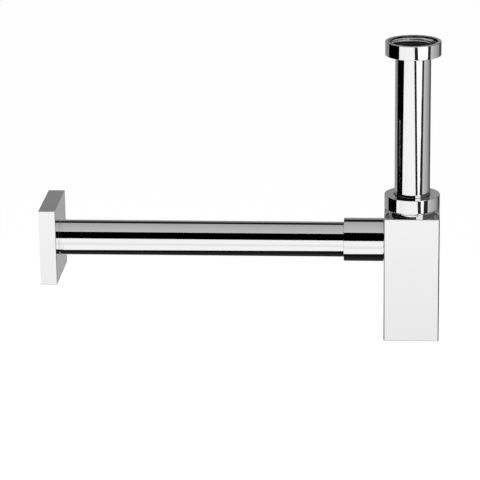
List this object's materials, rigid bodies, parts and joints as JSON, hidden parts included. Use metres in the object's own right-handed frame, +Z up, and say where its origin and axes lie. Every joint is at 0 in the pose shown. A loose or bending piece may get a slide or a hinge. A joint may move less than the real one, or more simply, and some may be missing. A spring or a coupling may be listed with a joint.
{
  "type": "basin bottle trap",
  "caption": "Chrome basin bottle trap with a square bottle, upright inlet tube with round nuts, and a straight horizontal outlet pipe to a square wall flange.",
  "frame": {"origin": "on the inlet axis, on top of the flat washer where the basin waste seats", "axes": "+Z up along the inlet tube, -X along the outlet pipe towards the wall"},
  "size_m": [0.3606, 0.0694, 0.2732],
  "materials": {
    "chrome": "polished chrome plate on brass",
    "rubber": "moulded black rubber",
    "nylon": "moulded natural nylon"
  },
  "bodies": {
    "inlet": {"inlet_tube": "chrome", "inlet_flat_washer": "rubber"},
    "coupling_nut": {"inlet_coupling_nut": "chrome"},
    "inlet_seal": {"inlet_cone_seal": "rubber"},
    "bottle": {"bottle_body": "chrome", "bottle_top": "chrome", "bottle_base": "chrome", "inlet_neck": "chrome", "outlet_spigot": "chrome", "outlet_cone_seal": "rubber"},
    "inlet_ring": {"inlet_slip_ring": "nylon"},
    "bottle_nut": {"bottle_inlet_nut": "chrome"},
    "outlet_ring": {"outlet_slip_ring": "nylon"},
    "sleeve_nut": {"outlet_sleeve_nut": "chrome"},
    "outlet_pipe": {"outlet_pipe": "chrome"},
    "flange_ring": {"flange_grip_ring": "rubber"},
    "wall_flange": {"wall_flange": "chrome"},
    "cleanout_seal": {"cleanout_seal": "rubber"},
    "cleanout_plug": {"cleanout_plug": "chrome"}
  },
  "joints": [
    {"name": "coupling_nut_spin", "type": "hinge", "parent": "inlet", "child": "coupling_nut", "pos_m": [0, 0, 0], "axis": [0, 0, 1], "continuous": true},
    {"name": "trap_height", "type": "slide", "parent": "inlet", "child": "inlet_seal", "axis": [0, 0, 1], "range_m": [-0.045, 0.01]},
    {"name": "bottle_swivel", "type": "hinge", "parent": "inlet_seal", "child": "bottle", "pos_m": [0, 0, 0], "axis": [0, 0, 1], "continuous": true},
    {"name": "bottle_nut_turn", "type": "hinge", "parent": "inlet_ring", "child": "bottle_nut", "pos_m": [0, 0, 0], "axis": [0, 0, 1], "range_deg": [0, 1080]},
    {"name": "bottle_nut_lift", "type": "slide", "parent": "bottle", "child": "inlet_ring", "axis": [0, 0, 1], "range_m": [0, 0.00693]},
    {"name": "sleeve_nut_turn", "type": "hinge", "parent": "outlet_ring", "child": "sleeve_nut", "pos_m": [0, 0, -0.1787], "axis": [-1, 0, 0], "range_deg": [0, 2880]},
    {"name": "sleeve_nut_shift", "type": "slide", "parent": "bottle", "child": "outlet_ring", "axis": [-1, 0, 0], "range_m": [0, 0.012]},
    {"name": "outlet_pipe_slide", "type": "slide", "parent": "bottle", "child": "outlet_pipe", "axis": [1, 0, 0], "range_m": [-0.012, 0.0075]},
    {"name": "flange_slide", "type": "slide", "parent": "outlet_pipe", "child": "flange_ring", "axis": [1, 0, 0], "range_m": [0, 0.23]},
    {"name": "flange_turn", "type": "hinge", "parent": "flange_ring", "child": "wall_flange", "pos_m": [0, 0, -0.1787], "axis": [1, 0, 0], "continuous": true},
    {"name": "cleanout_turn", "type": "hinge", "parent": "cleanout_seal", "child": "cleanout_plug", "pos_m": [0, 0, 0], "axis": [0, 0, -1], "range_deg": [0, 900]},
    {"name": "cleanout_drop", "type": "slide", "parent": "bottle", "child": "cleanout_seal", "axis": [0, 0, -1], "range_m": [0, 0.005]}
  ],
  "couplings": [
    {"joint": "bottle_nut_lift", "follows": "bottle_nut_turn", "m_per_rad": 0.00036749},
    {"joint": "sleeve_nut_shift", "follows": "sleeve_nut_turn", "m_per_rad": 0.00023873},
    {"joint": "cleanout_drop", "follows": "cleanout_turn", "m_per_rad": 0.00031831}
  ]
}
